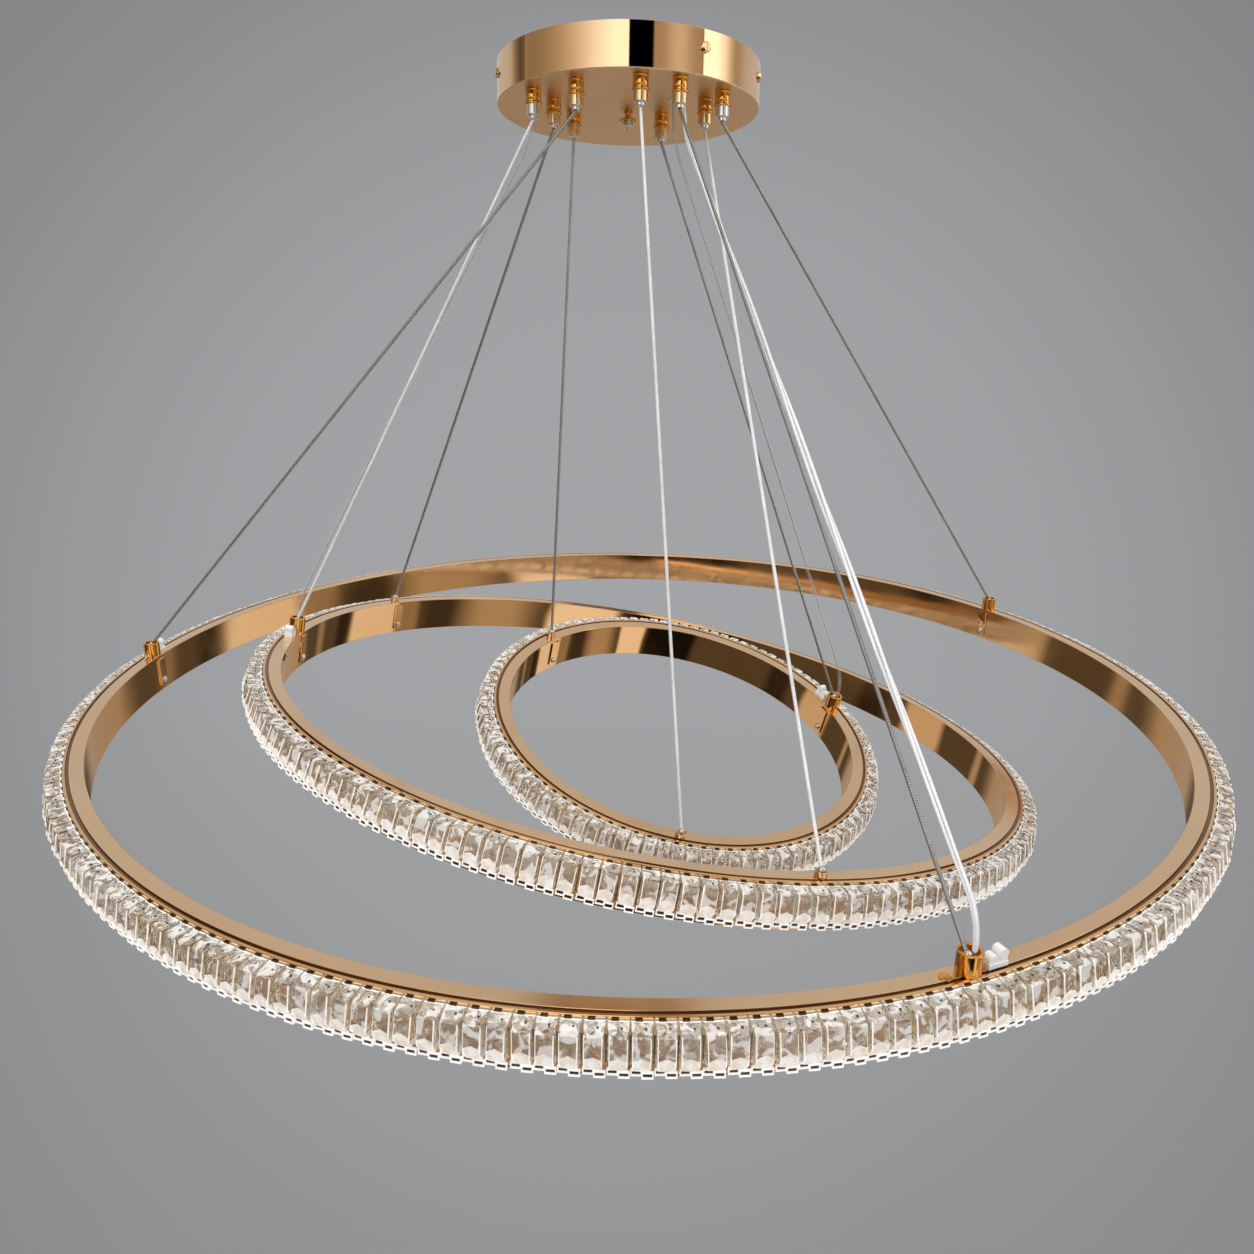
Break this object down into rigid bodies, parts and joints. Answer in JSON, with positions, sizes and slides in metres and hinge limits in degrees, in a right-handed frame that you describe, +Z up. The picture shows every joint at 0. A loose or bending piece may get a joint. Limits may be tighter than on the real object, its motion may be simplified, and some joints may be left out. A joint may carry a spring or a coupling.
{
  "type": "led ceiling chandelier",
  "caption": "Nested tilted rings of cut crystal blocks on mirror gold frames, hung by steel wires and clear power leads from wire glands in a round ceiling canopy.",
  "frame": {"origin": "middle of the ceiling screw pattern, on the bracket's top face at the ceiling", "axes": "+Z up to the ceiling, +X to the right as seen from the front, -Y towards the viewer"},
  "size_m": [0.9, 0.8958, 0.6028],
  "materials": {
    "canopy_gold": "polished rose gold plate",
    "gland_gold": "polished gold plate",
    "ring_gold": "mirror polished rose gold plate",
    "post_gold": "polished deep gold",
    "bright_steel": "bright",
    "zinc_steel": "zinc plated",
    "steel_wire": "twisted strands",
    "clear_lead": "clear sheath over white cores",
    "white_plastic": "moulded white",
    "ivory_plastic": "moulded ivory",
    "led_strip": "white flexible strip",
    "frosted_band": "opal, lets light through",
    "crystal": "clear, step cut"
  },
  "bodies": {
    "canopy": {"ceiling_bracket": "zinc_steel", "canopy_shell": "canopy_gold", "canopy_side_screws": "canopy_gold", "finial": "canopy_gold", "finial_nut": "bright_steel", "led_driver": "white_plastic", "terminal_block": "ivory_plastic", "gland_bodies": "gland_gold", "gland_nuts": "bright_steel", "lead_grommets": "white_plastic", "inner_wiring": "clear_lead", "wire_large_left": "steel_wire", "wire_large_right": "steel_wire", "wire_large_front": "steel_wire", "lead_large": "clear_lead", "wire_medium_left": "steel_wire", "wire_medium_back": "steel_wire", "wire_medium_front": "steel_wire", "lead_medium": "clear_lead", "wire_small_left": "steel_wire", "wire_small_right": "steel_wire", "wire_small_front": "steel_wire", "lead_small": "clear_lead"},
    "plunger_body_1": {"plunger_1": "bright_steel"},
    "plunger_body_2": {"plunger_2": "bright_steel"},
    "plunger_body_3": {"plunger_3": "bright_steel"},
    "plunger_body_4": {"plunger_4": "bright_steel"},
    "plunger_body_5": {"plunger_5": "bright_steel"},
    "plunger_body_6": {"plunger_6": "bright_steel"},
    "plunger_body_7": {"plunger_7": "bright_steel"},
    "plunger_body_8": {"plunger_8": "bright_steel"},
    "plunger_body_9": {"plunger_9": "bright_steel"},
    "large_ring": {"large_ring_frame": "ring_gold", "large_led_strip": "led_strip", "large_diffuser": "frosted_band", "large_crystals_row": "crystal", "large_hanger_posts": "post_gold", "large_wire_balls": "bright_steel", "large_straps": "post_gold", "large_strap_screws": "bright_steel", "large_lead_connector": "white_plastic"},
    "medium_ring": {"medium_ring_frame": "ring_gold", "medium_led_strip": "led_strip", "medium_diffuser": "frosted_band", "medium_crystals_row": "crystal", "medium_hanger_posts": "post_gold", "medium_wire_balls": "bright_steel", "medium_straps": "post_gold", "medium_strap_screws": "bright_steel", "medium_lead_connector": "white_plastic"},
    "small_ring": {"small_ring_frame": "ring_gold", "small_led_strip": "led_strip", "small_diffuser": "frosted_band", "small_crystals_row": "crystal", "small_hanger_posts": "post_gold", "small_wire_balls": "bright_steel", "small_straps": "post_gold", "small_strap_screws": "bright_steel", "small_lead_connector": "white_plastic"}
  },
  "joints": [
    {"name": "large_ring_height", "type": "slide", "parent": "canopy", "child": "large_ring", "axis": [0, 0, 1], "range_m": [0, 0.12], "deforming": ["wire_large_left", "wire_large_right", "wire_large_front", "lead_large"]},
    {"name": "medium_ring_height", "type": "slide", "parent": "canopy", "child": "medium_ring", "axis": [0, 0, 1], "range_m": [0, 0.08], "deforming": ["wire_medium_left", "wire_medium_back", "wire_medium_front", "lead_medium"]},
    {"name": "small_ring_height", "type": "slide", "parent": "canopy", "child": "small_ring", "axis": [0, 0, 1], "range_m": [0, 0.12], "deforming": ["wire_small_left", "wire_small_right", "wire_small_front", "lead_small"]},
    {"name": "plunger_1_push", "type": "slide", "parent": "canopy", "child": "plunger_body_1", "axis": [0, 0, 1], "range_m": [0, 0.002], "stiffness_N_per_m": 200, "springref_m": -0.004},
    {"name": "plunger_2_push", "type": "slide", "parent": "canopy", "child": "plunger_body_2", "axis": [0, 0, 1], "range_m": [0, 0.002], "stiffness_N_per_m": 200, "springref_m": -0.004},
    {"name": "plunger_3_push", "type": "slide", "parent": "canopy", "child": "plunger_body_3", "axis": [0, 0, 1], "range_m": [0, 0.002], "stiffness_N_per_m": 200, "springref_m": -0.004},
    {"name": "plunger_4_push", "type": "slide", "parent": "canopy", "child": "plunger_body_4", "axis": [0, 0, 1], "range_m": [0, 0.002], "stiffness_N_per_m": 200, "springref_m": -0.004},
    {"name": "plunger_5_push", "type": "slide", "parent": "canopy", "child": "plunger_body_5", "axis": [0, 0, 1], "range_m": [0, 0.002], "stiffness_N_per_m": 200, "springref_m": -0.004},
    {"name": "plunger_6_push", "type": "slide", "parent": "canopy", "child": "plunger_body_6", "axis": [0, 0, 1], "range_m": [0, 0.002], "stiffness_N_per_m": 200, "springref_m": -0.004},
    {"name": "plunger_7_push", "type": "slide", "parent": "canopy", "child": "plunger_body_7", "axis": [0, 0, 1], "range_m": [0, 0.002], "stiffness_N_per_m": 200, "springref_m": -0.004},
    {"name": "plunger_8_push", "type": "slide", "parent": "canopy", "child": "plunger_body_8", "axis": [0, 0, 1], "range_m": [0, 0.002], "stiffness_N_per_m": 200, "springref_m": -0.004},
    {"name": "plunger_9_push", "type": "slide", "parent": "canopy", "child": "plunger_body_9", "axis": [0, 0, 1], "range_m": [0, 0.002], "stiffness_N_per_m": 200, "springref_m": -0.004}
  ]
}
